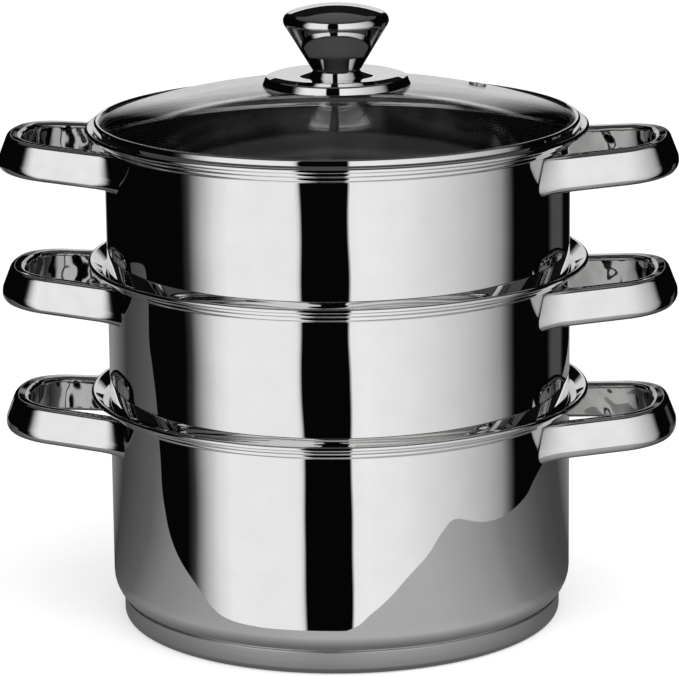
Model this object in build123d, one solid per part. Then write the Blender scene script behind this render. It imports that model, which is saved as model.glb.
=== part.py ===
from build123d import *
import math
import os

# Three-tier steamer pot, free-standing. Millimetres, +Z up, +X through the handles.
# The origin is on the axis of the vessels, on the surface that the pot stands on.

# Vessels: the pot and both steamers are drawn to one diameter from one sheet
body_radius = 120.6
wall = 0.8
pot_height = 122.5
tier_pitch = 69.5

# Rim: the wall flares out and ends in a rolled bead, so far outside the wall
rim_reach = 9.7
bead_radius = 1.3
flare_radius = 6.0
flare_degrees = 48.0

# Pot bottom: a rounded corner over a heat-spreading disc that a pressed cap closes in
floor_height = 8.0
pot_corner_radius = 17.0
cap_height = 12.0
cap_wall = 0.8
cap_corner_radius = 3.5

# Steamer seat: a shoulder that rests in the flare below, and a neck that drops into the mouth
seat_gap = 0.3
neck_clearance = 2.4
nest_depth = 20.5
shoulder_radius = 2.2
shoulder_degrees = 30.0
steamer_corner_radius = 5.0

# Steam holes: one in the middle, then rings with six more holes each time
hole_radius = 3.2
hole_ring_pitch = 21.0
hole_rings = 4
holes_per_step = 6

# Handles: one cast bar bent to a loop that rises towards its tip
handle_drop = 8.7
handle_rise_degrees = 4.5
bar_height = 18.5
bar_width = 8.0
bar_belly = 3.7
bar_belly_depth = 12.0
bar_edge_radius = 1.6
bar_belly_radius = 6.0
bar_bottom_radius = 4.5
root_inset = 22.0
root_half_span = 45.7
corner_reach = 42.2
corner_half_span = 31.5
tip_reach = 49.1
corner_bend_radius = 24.0
tip_bend_radius = 75.0

# Handle feet: the outer side of the bar spreads towards the wall in a hollow curve
foot_length = 6.4
foot_depth = 7.1
foot_spread = 5.0
foot_steps = 3

# Lid band: a channel rolled round the edge of the glass, so far inside the top rim
band_inset = 4.6
band_height = 6.6
band_wall = 0.6
band_curl_width = 2.4
band_curl_depth = 1.25
band_curl_bevel = 0.7
band_corner_bevel = 1.05
band_ledge = 6.0

# Lid glass, and the strip that seals its edge in the band
glass_thickness = 4.0
glass_rise = 19.5
glass_gap = 0.05
glass_edge_gap = 0.45
glass_edge_bevel = 1.2
glass_hole_radius = 5.0
seal_height = 4.2
seal_width = 5.2

# Steam vent: an eyelet through the glass, rolled over a backing ring on the inside
vent_offset = 81.0
vent_bearing = 29.0
vent_bore_radius = 1.7
vent_tube_radius = 2.4
vent_flange_radius = 4.6
vent_flange_thickness = 0.9
vent_lip_radius = 3.4
vent_lip_thickness = 0.6
vent_ring_radius = 5.0
vent_ring_thickness = 0.8
vent_gap = 0.05

# Knob skirt: a pressed plinth between the glass and the knob
skirt_radius = 38.3
skirt_top_radius = 36.4
skirt_height = 5.3
skirt_edge_radius = 1.2
skirt_dip = 1.0
skirt_dip_radius = 22.0
skirt_dip_bend = 14.0
skirt_collar_radius = 13.4
skirt_collar_height = 7.0
skirt_collar_bend = 1.6
skirt_wall = 0.8
skirt_gap = 0.1

# Knob: a hollow cone with a rounded edge and a low dome, on a narrow foot
knob_foot_radius = 12.2
knob_radius = 27.35
knob_edge_radius = 4.75
knob_edge_height = 25.9
knob_height = 34.5
knob_wall = 0.8

# Knob boss: the threaded piece inside the knob, with a stem down to the glass
boss_radius = 9.0
boss_height = 14.0
boss_stem_radius = 6.5
boss_stem_gap = 0.1

# Knob screw, its steel washer and the soft washers on both faces of the glass
screw_radius = 2.4
screw_thread_gap = 0.05
screw_grip = 11.0
screw_head_radius = 4.8
screw_head_height = 2.6
screw_head_edge = 0.7
screw_slot_width = 1.2
screw_slot_depth = 1.1
washer_radius = 8.0
washer_thickness = 1.0
soft_washer_radius = 10.0
soft_washer_thickness = 1.5
soft_washer_gap = 0.1

# How far a cutting body runs past what it cuts
overrun = 5.0

# Heights of the three rims, and the main radii that follow from the sizes above
steamers = ("lower_steamer", "upper_steamer")
rim_tops = {"pot": pot_height}
for tier, steamer in enumerate(steamers, start=1):
    rim_tops[steamer] = pot_height + tier * tier_pitch
rim_radius = body_radius + rim_reach
band_radius = rim_radius - band_inset
inner_radius = body_radius - wall
neck_outer_radius = inner_radius - neck_clearance


def turned(face):
    """A solid of revolution about the axis of the vessels, from a half section."""
    return revolve(Plane.XZ * face, Axis.Z)


def turned_sheet(line, thickness, side=Side.LEFT, kind=Kind.ARC):
    """A turned sheet, from the line of its outer face and the side on which the sheet lies."""
    return turned(make_face(offset(line, amount=thickness, side=side, kind=kind)))


def turned_solid(line):
    """The solid that a line encloses with the axis, from a line that runs upwards."""
    low, high = line @ 0, line @ 1
    edges = line.edges() + [
        Line((high.X, high.Y), (0, high.Y)),
        Line((0, high.Y), (0, low.Y)),
    ]
    if low.X > 0:
        edges.append(Line((0, low.Y), (low.X, low.Y)))
    return turned(make_face(Wire(edges)))


def disc(radius, low, high):
    """A flat disc about the axis between two heights."""
    return Pos(0, 0, low) * extrude(Circle(radius), high - low)


def washer(outer, inner, low, high):
    """A flat ring about the axis between two heights."""
    return disc(outer, low, high) - disc(inner, low, high)


def flare_normal():
    """The direction square to the straight part of the flare, up and inwards."""
    angle = math.radians(flare_degrees)
    return -math.cos(angle), math.sin(angle)


def bead_centre(top):
    """The middle of the rolled bead in the half section."""
    return rim_radius - bead_radius, top - bead_radius


def flare_centre(top):
    """The middle of the bend from wall to flare, where the flare's inside meets the bead's top."""
    across, up = flare_normal()
    bead_r, bead_z = bead_centre(top)
    radius = body_radius + flare_radius
    reach = bead_radius - flare_radius - wall - across * (radius - bead_r)
    return radius, bead_z + reach / up


def flare_points(top):
    """The knee of the wall's outer face, and where that face runs into the bead."""
    across, up = flare_normal()
    centre_r, centre_z = flare_centre(top)
    bead_r, bead_z = bead_centre(top)
    half_turn = math.radians(flare_degrees) / 2
    knee = (body_radius, centre_z + flare_radius * math.tan(half_turn))
    sink = bead_radius - wall
    end = (bead_r + across * sink, bead_z + up * sink)
    return knee, end


def pot_line():
    """The outer face of the pot in half section, from the middle of the floor to the bead."""
    knee, end = flare_points(pot_height)
    return FilletPolyline(
        (0, floor_height),
        (body_radius, floor_height),
        knee,
        end,
        radius=[pot_corner_radius, flare_radius],
    )


def shoulder_height(below):
    """The height of a steamer's shoulder corner, at the seat gap above the flare it rests in."""
    centre_r, centre_z = flare_centre(below)
    reach = flare_radius + wall + seat_gap + shoulder_radius
    across = centre_r - (body_radius - shoulder_radius)
    half_turn = math.radians(90 - shoulder_degrees) / 2
    drop = shoulder_radius * math.tan(half_turn)
    return centre_z + math.sqrt(reach**2 - across**2) - drop


def steamer_line(top):
    """The outer face of a steamer in half section, from the middle of its bottom to the bead."""
    below = top - tier_pitch
    bottom = below - nest_depth
    shoulder = shoulder_height(below)
    slope = math.tan(math.radians(shoulder_degrees))
    neck_top = shoulder - (body_radius - neck_outer_radius) * slope
    knee, end = flare_points(top)
    return FilletPolyline(
        (0, bottom),
        (neck_outer_radius, bottom),
        (neck_outer_radius, neck_top),
        (body_radius, shoulder),
        knee,
        end,
        radius=[steamer_corner_radius, 0, shoulder_radius, flare_radius],
    )


def bead(top):
    """The rolled edge of a rim."""
    centre_r, centre_z = bead_centre(top)
    return turned(Pos(centre_r, centre_z) * Circle(bead_radius))


def steam_holes(bottom):
    """The punches of the steam holes: one in the middle, then ring after ring round it."""
    punch = Cylinder(hole_radius, wall + overrun)
    holes = [Pos(0, 0, bottom) * punch]
    for ring in range(1, hole_rings):
        for place in PolarLocations(ring * hole_ring_pitch, ring * holes_per_step):
            holes.append(Pos(0, 0, bottom) * place * punch)
    return holes


def pot_shell():
    """The drawn body of the pot, with its rolled rim."""
    return turned_sheet(pot_line(), wall) + bead(pot_height)


def steamer_shell(top):
    """The drawn body of a steamer, with its rolled rim, shoulder, neck and holed bottom."""
    shell = turned_sheet(steamer_line(top), wall) + bead(top)
    return shell - steam_holes(top - tier_pitch - nest_depth)


def seam_radius():
    """The outside of the pot's rounded corner at the height where the base cap ends."""
    rise = floor_height + pot_corner_radius - cap_height
    return body_radius - pot_corner_radius + math.sqrt(pot_corner_radius**2 - rise**2)


def base_cap():
    """The pressed cap that closes in the heat-spreading disc under the pot."""
    outside = seam_radius() + cap_wall
    line = FilletPolyline((0, 0), (outside, 0), (outside, cap_height), radius=cap_corner_radius)
    return turned_sheet(line, cap_wall)


def base_core():
    """The heat-spreading disc, which fills the space between the cap and the pot's floor."""
    outside = seam_radius()
    line = FilletPolyline(
        (0, cap_wall),
        (outside, cap_wall),
        (outside, cap_height),
        radius=cap_corner_radius - cap_wall,
    )
    return turned_solid(line) - turned_solid(pot_line())


def bar_section(spread):
    """The section of a handle bar, outside to the right, with its outer side moved out."""
    inside = -bar_width / 2
    outside = bar_width / 2 + spread
    belly = outside + bar_belly
    return make_face(
        FilletPolyline(
            (inside, 0),
            (inside, -bar_height),
            (belly, -bar_height),
            (belly, -bar_belly_depth),
            (outside, 0),
            radius=[
                bar_edge_radius,
                bar_edge_radius,
                bar_bottom_radius,
                bar_belly_radius,
                bar_edge_radius,
            ],
            close=True,
        )
    )


def bar_path():
    """The line of a right-hand handle in plan, from one root to the other."""
    root = body_radius - root_inset
    corner = body_radius + corner_reach
    return FilletPolyline(
        (root, root_half_span),
        (corner, corner_half_span),
        (body_radius + tip_reach, 0),
        (corner, -corner_half_span),
        (root, -root_half_span),
        radius=[corner_bend_radius, tip_bend_radius, corner_bend_radius],
    )


def bar_plane(path, distance):
    """The plane of a section across the straight start of a handle, at a distance along it."""
    start, ahead = path @ 0, path % 0
    outward = Vector(-ahead.Y, ahead.X, 0)
    return Plane(origin=start + ahead * distance, x_dir=outward, z_dir=ahead)


def wall_distance(path):
    """How far along a handle's straight start the outside of the wall is crossed."""
    start, ahead = path @ 0, path % 0
    along = start.X * ahead.X + start.Y * ahead.Y
    aside = start.X**2 + start.Y**2 - body_radius**2
    return math.sqrt(along**2 - aside) - along


def handle_foot(path):
    """The foot of a handle: it spreads ever faster until it is inside the wall, then stays."""
    start = wall_distance(path) + foot_length
    sections = []
    for step in range(foot_steps + 1):
        share = step / foot_steps
        plane = bar_plane(path, start - (foot_length + foot_depth) * share)
        sections.append(plane * bar_section(foot_spread * share**2))
    sections.append(bar_plane(path, 0) * bar_section(foot_spread))
    return loft(sections, ruled=True)


def handle(top, envelope, turn):
    """A handle at a rim's height, cut to the outside of its vessel and turned into place."""
    path = bar_path()
    bar = sweep(bar_plane(path, 0) * bar_section(0), path)
    foot = handle_foot(path)
    loop = bar + foot + mirror(foot, about=Plane.XZ)
    pivot = Pos(body_radius, 0, top - handle_drop)
    placed = pivot * Rot(0, -handle_rise_degrees, 0) * Pos(-body_radius, 0, 0) * loop
    return Rot(0, 0, turn) * (placed - envelope)


def lid_base():
    """The underside of the lid band, at the seat gap above the flare of the top rim."""
    across, up = flare_normal()
    flare_r, flare_z = flare_centre(rim_tops["upper_steamer"])
    corner_r = band_radius - band_corner_bevel
    reach = flare_radius + wall + seat_gap - across * (corner_r - flare_r)
    return flare_z + reach / up


def glass_centre():
    """The radius of the glass dome's outer face and the height of its middle."""
    chord = band_radius - band_curl_width
    radius = (chord**2 + glass_rise**2) / (glass_rise * 2)
    rim = lid_base() + band_height - band_curl_depth - glass_gap
    return radius, rim + glass_rise - radius


def crown():
    """The height of the top of the glass dome."""
    radius, centre = glass_centre()
    return centre + radius


def lid_band():
    """The rolled channel round the glass: a ledge below, an upright side and a curl on top."""
    base = lid_base()
    top = base + band_height
    curl = band_radius - band_curl_width
    line = Polyline(
        (band_radius - band_ledge, base),
        (band_radius - band_corner_bevel, base),
        (band_radius, base + band_corner_bevel),
        (band_radius, top - band_curl_bevel),
        (band_radius - band_curl_bevel, top),
        (curl + band_curl_bevel, top),
        (curl, top - band_curl_bevel),
        (curl, top - band_curl_depth),
    )
    return turned_sheet(line, band_wall, side=Side.RIGHT, kind=Kind.INTERSECTION)


def lid_glass():
    """The domed glass, with a bevelled edge, a hole for the knob and a hole for the vent."""
    radius, centre = glass_centre()
    edge = band_radius - band_wall - glass_edge_gap
    inside = radius - glass_thickness
    angle = math.degrees(math.acos(edge / radius))
    inner_angle = math.degrees(math.acos(edge / inside))
    hole_angle = math.degrees(math.acos(glass_hole_radius / radius))
    inner_hole_angle = math.degrees(math.acos(glass_hole_radius / inside))
    outer = CenterArc((0, centre), radius, angle, hole_angle - angle)
    inner = CenterArc((0, centre), inside, inner_angle, inner_hole_angle - inner_angle)
    section = make_face(
        Wire([outer, Line(outer @ 1, inner @ 1), inner, Line(inner @ 0, outer @ 0)])
    )
    corners = section.vertices().group_by(Axis.X)[-1]
    dome = turned(chamfer(corners, glass_edge_bevel))
    drill = Cylinder(vent_tube_radius + vent_gap, glass_thickness * 2 + overrun)
    return dome - vent_place() * drill


def edge_seal(glass):
    """The soft strip that fills the channel under and round the edge of the glass."""
    base = lid_base() + band_wall
    side = band_radius - band_wall
    line = Polyline(
        (side - seal_width, base),
        (side - band_corner_bevel, base),
        (side, base + band_corner_bevel),
        (side, base + seal_height),
    )
    bore = Pos(0, 0, base) * Cylinder(side - seal_width, seal_height * 2 + overrun)
    return turned_solid(line) - bore - glass


def vent_place():
    """The frame of the vent: on the outer face of the glass, square to it."""
    radius, centre = glass_centre()
    lean = math.degrees(math.asin(vent_offset / radius))
    turn = Rot(0, 0, vent_bearing) * Rot(0, lean, 0)
    return Pos(0, 0, centre) * turn * Pos(0, 0, radius)


def vent_eyelet():
    """The eyelet: a flange on the glass, a tube through it and a lip rolled over the ring."""
    ring_bottom = -(glass_thickness + vent_gap + vent_ring_thickness)
    lip_bottom = ring_bottom - vent_lip_thickness
    eyelet = washer(vent_flange_radius, vent_bore_radius, 0, vent_flange_thickness)
    eyelet += washer(vent_tube_radius, vent_bore_radius, lip_bottom, 0)
    eyelet += washer(vent_lip_radius, vent_bore_radius, lip_bottom, ring_bottom)
    rim = eyelet.edges().group_by(Axis.Z)[-1].sort_by(SortBy.RADIUS)[-1]
    return vent_place() * fillet(rim, vent_flange_thickness / 2)


def vent_backing_ring():
    """The ring under the glass that the eyelet's lip holds."""
    top = -(glass_thickness + vent_gap)
    bore = vent_tube_radius + vent_gap
    return vent_place() * washer(vent_ring_radius, bore, top - vent_ring_thickness, top)


def skirt_base():
    """The height of the knob skirt's lower edge, just clear of the glass."""
    radius, centre = glass_centre()
    inside = skirt_radius - skirt_wall
    lean = math.atan2(skirt_radius - skirt_top_radius, skirt_height)
    return centre + math.sqrt(radius**2 - inside**2) + skirt_gap + skirt_wall * math.sin(lean)


def knob_skirt():
    """The pressed skirt: a steep edge, a dished top and a collar that the knob stands on."""
    base = skirt_base()
    edge = base + skirt_height
    collar = base + skirt_collar_height
    line = FilletPolyline(
        (skirt_radius, base),
        (skirt_top_radius, edge),
        (skirt_dip_radius, edge - skirt_dip),
        (skirt_collar_radius, collar),
        (boss_stem_radius + boss_stem_gap, collar),
        radius=[skirt_edge_radius, skirt_dip_bend, skirt_collar_bend],
    )
    return turned_sheet(line, skirt_wall)


def knob_form(inset):
    """The solid form of the knob, with every face moved in by the inset."""
    base = skirt_base() + skirt_collar_height
    edge = (knob_radius - knob_edge_radius, base + knob_edge_height)
    bend = knob_edge_radius - inset
    across = edge[0] - knob_foot_radius
    lean = math.atan2(across, knob_edge_height)
    lean += math.asin(knob_edge_radius / math.hypot(across, knob_edge_height))
    joint = (edge[0] + bend * math.cos(lean), edge[1] - bend * math.sin(lean))
    low = base + inset
    foot = joint[0] - (joint[1] - low) * math.tan(lean)
    below = knob_height - knob_edge_height - knob_edge_radius
    dome = knob_edge_radius + (edge[0] ** 2 + below**2) / (2 * below)
    centre = base + knob_height - dome
    rise = math.degrees(math.atan2(edge[1] - centre, edge[0]))
    down = -math.degrees(lean)
    outline = [
        Line((0, low), (foot, low)),
        Line((foot, low), joint),
        CenterArc(edge, bend, down, rise - down),
        CenterArc((0, centre), dome - inset, rise, 90 - rise),
        Line((0, centre + dome - inset), (0, low)),
    ]
    return turned(make_face(Wire(outline)))


def knob_shell():
    """The hollow knob, with a hole in its foot for the boss."""
    base = skirt_base() + skirt_collar_height
    hole = disc(boss_stem_radius + boss_stem_gap, base - overrun, base + overrun)
    return knob_form(0) - knob_form(knob_wall) - hole


def boss_levels():
    """The heights of the boss's stem end, of its shoulder in the knob and of its top."""
    stem = crown() + soft_washer_thickness
    shoulder = skirt_base() + skirt_collar_height + knob_wall
    return stem, shoulder, shoulder + boss_height


def knob_boss():
    """The threaded boss: a body on the knob's foot, a stem down to the glass, a blind bore."""
    stem, shoulder, top = boss_levels()
    boss = disc(boss_stem_radius, stem, shoulder) + disc(boss_radius, shoulder, top)
    bore_top = stem + screw_grip + screw_radius
    return boss - disc(screw_radius + screw_thread_gap, stem - overrun, bore_top)


def clamp_level():
    """The height of the lower soft washer's upper face, under the glass."""
    radius, centre = glass_centre()
    inside = radius - glass_thickness
    return centre + math.sqrt(inside**2 - soft_washer_radius**2) - soft_washer_gap


def knob_seal_upper():
    """The soft washer between the glass and the boss."""
    return washer(
        soft_washer_radius, screw_radius + soft_washer_gap, crown(), crown() + soft_washer_thickness
    )


def knob_seal_lower():
    """The soft washer under the glass, with a collar that fills the hole round the screw."""
    top = clamp_level()
    bore = screw_radius + soft_washer_gap
    disc = washer(soft_washer_radius, bore, top - soft_washer_thickness, top)
    return disc + washer(glass_hole_radius - soft_washer_gap, bore, top, crown())


def screw_washer():
    """The steel washer under the screw's head."""
    top = clamp_level() - soft_washer_thickness
    return washer(washer_radius, screw_radius + soft_washer_gap, top - washer_thickness, top)


def knob_screw():
    """The screw that holds the knob from inside the lid, with a slot across its head."""
    seat = clamp_level() - soft_washer_thickness - washer_thickness
    bottom = seat - screw_head_height
    tip = crown() + soft_washer_thickness + screw_grip
    line = FilletPolyline(
        (0, bottom),
        (screw_head_radius, bottom),
        (screw_head_radius, seat),
        (screw_radius, seat),
        (screw_radius, tip),
        radius=[screw_head_edge, 0, 0],
    )
    slot = Box(screw_head_radius * 2 + overrun, screw_slot_width, screw_slot_depth * 2)
    return turned_solid(line) - Pos(0, 0, bottom) * slot


def vessel(name, shell, line):
    """The nodes of one vessel: its shell and its two handles."""
    envelope = turned_solid(line)
    top = rim_tops[name]
    return {
        f"{name}_shell": shell,
        f"{name}_handle_right": handle(top, envelope, 0),
        f"{name}_handle_left": handle(top, envelope, 180),
    }


def lid():
    """The nodes of the lid."""
    glass = lid_glass()
    return {
        "lid_glass": glass,
        "lid_rim_band": lid_band(),
        "glass_edge_seal": edge_seal(glass),
        "vent_eyelet": vent_eyelet(),
        "vent_backing_ring": vent_backing_ring(),
        "knob_skirt": knob_skirt(),
        "knob_shell": knob_shell(),
        "knob_boss": knob_boss(),
        "knob_seal_upper": knob_seal_upper(),
        "knob_seal_lower": knob_seal_lower(),
        "screw_washer": screw_washer(),
        "knob_screw": knob_screw(),
    }


nodes = vessel("pot", pot_shell(), pot_line())
nodes |= {"pot_base_cap": base_cap(), "pot_base_core": base_core()}
for steamer in steamers:
    rim_top = rim_tops[steamer]
    nodes |= vessel(steamer, steamer_shell(rim_top), steamer_line(rim_top))
nodes |= lid()

os.makedirs("parts", exist_ok=True)
for node, solid in nodes.items():
    export_step(solid, f"parts/{node}.step")
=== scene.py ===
import math

import bmesh
import bpy
import numpy as np
from mathutils import Euler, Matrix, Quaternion, Vector


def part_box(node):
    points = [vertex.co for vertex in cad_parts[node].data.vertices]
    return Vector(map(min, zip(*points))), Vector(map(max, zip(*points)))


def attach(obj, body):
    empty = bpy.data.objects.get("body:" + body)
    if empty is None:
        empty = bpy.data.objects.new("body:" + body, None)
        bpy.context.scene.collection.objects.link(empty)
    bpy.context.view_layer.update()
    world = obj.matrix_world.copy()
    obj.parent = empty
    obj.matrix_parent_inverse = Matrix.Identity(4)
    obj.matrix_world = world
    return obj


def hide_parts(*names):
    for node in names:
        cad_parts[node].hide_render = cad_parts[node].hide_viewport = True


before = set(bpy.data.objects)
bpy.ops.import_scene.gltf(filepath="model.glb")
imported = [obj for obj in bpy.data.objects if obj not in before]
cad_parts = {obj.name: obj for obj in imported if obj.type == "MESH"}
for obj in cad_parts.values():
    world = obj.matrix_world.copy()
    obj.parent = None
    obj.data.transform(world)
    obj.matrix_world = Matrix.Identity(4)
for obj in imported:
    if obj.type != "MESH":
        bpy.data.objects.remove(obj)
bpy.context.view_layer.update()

# The pot is drawn from one sheet of stainless steel: a flat floor, a rounded corner and an upright
# wall that flares out to a rolled bead. It is mirror polished outside and polished softer inside.
sheet = 0.0008
body_radius = 0.1206
rim_tops = {"pot": 0.1225, "lower_steamer": 0.192, "upper_steamer": 0.2615}
bead_radius = 0.0013
bead_middle = 0.12899
flare_knee = 0.00819
flare_bend = 0.006
flare_lean = math.radians(48)
rim_rolls = [(0, -0.0083), (0.0029, -0.0079), (0.003, -0.0056), (0.0058, -0.0051), (0.006, -0.0027)]
rim_roll_bends = [0.0005, 0.0018, 0.0003, 0.0018, 0.0003]
bead_start = math.radians(-150)
bead_steps = 36
pot_floor = 0.008
pot_corner = 0.017
fine_ease = 0.00005
weld_distance = 2e-7
least_length = 1e-8


def unit(vectors):
    """Each vector divided by its own length."""
    return vectors / np.linalg.norm(vectors, axis=-1, keepdims=True)


def rounded_line(corners, radii, steps=9, ease=0.00015):
    """Points and directions along a line of straight runs whose corners are arcs.

    An arc of radius r that turns by a starts at r*tan(a/2) before the corner. After the share s of
    its turn it has gone r*sin(s*a) ahead and r*(1 - cos(s*a)) aside. One more point lies on the run
    at each end of it, so that the shading of the run stays flat.
    """
    corners = np.array(corners, float)
    radii = np.array(radii, float)[:, None, None]
    ahead = unit(np.diff(corners, axis=0))
    before, after = ahead[:-1, None], ahead[1:, None]
    aside = before[..., ::-1] * (-1, 1)
    turn = np.arctan2((aside * after).sum(-1), (before * after).sum(-1))[..., None]
    start = corners[1:-1, None] - before * radii * np.tan(abs(turn) / 2)
    angle = turn * np.linspace(0, 1, steps + 1)[:, None]
    arc = before * abs(np.sin(angle)) + aside * np.sign(turn) * (1 - np.cos(angle))
    arcs = start + radii * arc
    arcs = np.concatenate([arcs[:, :1] - before * ease, arcs, arcs[:, -1:] + after * ease], 1)
    turning = before * np.cos(angle) + aside * np.sin(angle)
    turning = np.concatenate([before, turning, after], 1)
    points = np.concatenate([corners[:1], arcs.reshape(-1, 2), corners[-1:]])
    directions = np.concatenate([ahead[:1], turning.reshape(-1, 2), ahead[-1:]])
    return points, directions


def sheet_section(points, directions, thickness):
    """The closed section of a sheet: its outer line, and that line set aside by the thickness, back."""
    inner = points + directions[:, ::-1] * (-thickness, thickness)
    return np.concatenate([points, inner[::-1], points[:1]])


def turned(section, count=240):
    """A section swung round the axis: the point at angle t is (r*cos(t), r*sin(t), z)."""
    t = np.linspace(0, 2 * np.pi, count, endpoint=False)
    r, z = section[:, :1], section[:, 1:]
    return np.stack([r * np.cos(t), r * np.sin(t), z + 0 * t], -1)


def grid_faces(shape, start):
    """Four-sided faces of a grid of rows and columns, each row closed on itself, for every copy."""
    index = start + np.arange(np.prod(shape)).reshape(shape)
    beside = np.roll(index, -1, axis=-1)
    rows = [index[..., :-1, :], beside[..., :-1, :], beside[..., 1:, :], index[..., 1:, :]]
    return np.stack(rows, -1).reshape(-1, 4)


def make_piece(name, grids, finish, body, nodes=(), crease=35, cast=None):
    """One mesh from grids of points, joined at seams and poles, with the smooth shading broken at creases.

    Cast, if given, is how rough the casting was left at each point and how far painted shade darkens it
    there; it is kept as a point attribute.
    """
    faces, start = [], 0
    for grid in grids:
        faces.append(grid_faces(grid.shape[:-1], start))
        start += grid[..., 0].size
    points = np.concatenate([grid.reshape(-1, 3) for grid in grids])
    mesh = bpy.data.meshes.new(name)
    mesh.from_pydata(points.tolist(), [], np.concatenate(faces).tolist())
    if cast is not None:
        mesh.attributes.new("cast_and_shade", "FLOAT", "POINT").data.foreach_set("value", cast.ravel())
    form = bmesh.new()
    form.from_mesh(mesh)
    bmesh.ops.remove_doubles(form, verts=form.verts, dist=weld_distance)
    bmesh.ops.dissolve_degenerate(form, edges=form.edges, dist=least_length)
    form.to_mesh(mesh)
    form.free()
    mesh.polygons.foreach_set("use_smooth", np.ones(len(mesh.polygons), bool))
    mesh.set_sharp_from_angle(angle=math.radians(crease))
    mesh.materials.append(finish)
    piece = bpy.data.objects.new(name, mesh)
    bpy.context.scene.collection.objects.link(piece)
    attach(piece, body)
    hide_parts(*nodes)
    return piece


def rim_line(top):
    """The knee of the wall's outer face under a rim, and where that face runs into the bead.

    The foot lies square to the flare's direction from the bead's middle, at the bead's radius less
    the sheet, so that the inner face touches the bead.
    """
    lean = np.array([math.sin(flare_lean), math.cos(flare_lean)])
    bead = np.array([bead_middle, top - bead_radius])
    foot = bead + lean[::-1] * (-1, 1) * (bead_radius - sheet)
    return (body_radius, top - flare_knee), foot, lean


def vessel_section(corners, radii, top):
    """The closed section of a vessel, from the middle of its bottom out, up, round the bead and back.

    The inner line is the plain flare, set aside by the sheet. The outer line goes over two low
    ridges of rolled sheet, whose corners are given out from the wall and up from the rim's top. It
    meets the bead's circle at the start angle, and follows it to where the inner line touches it.
    """
    knee, foot, lean = rim_line(top)
    plain, directions = rounded_line([*corners, knee, foot], [*radii, flare_bend])
    inner = plain + directions[:, ::-1] * (-sheet, sheet)
    bead = np.array([bead_middle, top - bead_radius])
    meeting = bead + bead_radius * np.array([math.cos(bead_start), math.sin(bead_start)])
    rolls = [(body_radius + x, top + z) for x, z in rim_rolls]
    line = rounded_line([*corners, *rolls, meeting], [*radii, *rim_roll_bends], ease=fine_ease)[0]
    last = math.atan2(lean[0], -lean[1])
    around = np.linspace(bead_start, last, bead_steps + 1)[:, None]
    curl = bead + bead_radius * np.concatenate([np.cos(around), np.sin(around)], 1)
    return np.concatenate([line, curl[1:], inner[::-1][1:]])


def steel(name, tone, gloss, haze, grain=(60, 60, 60), relief=0.02, depth=0.0001, wave=0.0):
    """Steel whose tone and gloss change softly with noise, between two values each, over a fine relief.

    Wave is the depth of the long waves that a drawn sheet keeps, which bend what it mirrors.
    """
    finish = bpy.data.materials.new(name)
    finish.use_nodes = True
    nodes, links = finish.node_tree.nodes, finish.node_tree.links
    shader = nodes["Principled BSDF"]
    shader.inputs["Metallic"].default_value = 1
    place = nodes.new("ShaderNodeTexCoord")
    stretch = nodes.new("ShaderNodeMapping")
    stretch.inputs["Scale"].default_value = grain
    links.new(place.outputs["Object"], stretch.inputs["Vector"])
    cloud = nodes.new("ShaderNodeTexNoise")
    cloud.inputs["Scale"].default_value = 1
    cloud.inputs["Detail"].default_value = 4
    links.new(stretch.outputs["Vector"], cloud.inputs["Vector"])
    colour = nodes.new("ShaderNodeValToRGB")
    colour.color_ramp.elements[0].position = 0.3
    colour.color_ramp.elements[1].position = 0.7
    colour.color_ramp.elements[0].color = (*tone[0], 1)
    colour.color_ramp.elements[1].color = (*tone[1], 1)
    links.new(cloud.outputs["Fac"], colour.inputs["Fac"])
    links.new(colour.outputs["Color"], shader.inputs["Base Color"])
    dull = nodes.new("ShaderNodeMapRange")
    dull.inputs["From Min"].default_value = 0.3
    dull.inputs["From Max"].default_value = 0.75
    dull.inputs["To Min"].default_value = gloss
    dull.inputs["To Max"].default_value = haze
    links.new(cloud.outputs["Fac"], dull.inputs["Value"])
    links.new(dull.outputs["Result"], shader.inputs["Roughness"])
    bump = nodes.new("ShaderNodeBump")
    bump.inputs["Strength"].default_value = relief
    bump.inputs["Distance"].default_value = depth
    links.new(cloud.outputs["Fac"], bump.inputs["Height"])
    links.new(bump.outputs["Normal"], shader.inputs["Normal"])
    swell = nodes.new("ShaderNodeTexNoise")
    swell.inputs["Scale"].default_value = 13
    swell.inputs["Detail"].default_value = 1
    links.new(place.outputs["Object"], swell.inputs["Vector"])
    bend = nodes.new("ShaderNodeBump")
    bend.inputs["Strength"].default_value = 1
    bend.inputs["Distance"].default_value = wave
    links.new(swell.outputs["Fac"], bend.inputs["Height"])
    links.new(bend.outputs["Normal"], bump.inputs["Normal"])
    return finish


def vary_roughness(finish, share, rough):
    """Lets the roughness of a finish go over to another value by the share that a socket gives."""
    nodes, links = finish.node_tree.nodes, finish.node_tree.links
    roughness = nodes["Principled BSDF"].inputs["Roughness"]
    over = nodes.new("ShaderNodeMix")
    links.new(share, over.inputs["Factor"])
    links.new(roughness.links[0].from_socket, over.inputs["A"])
    over.inputs["B"].default_value = rough
    links.new(over.outputs["Result"], roughness)


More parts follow.
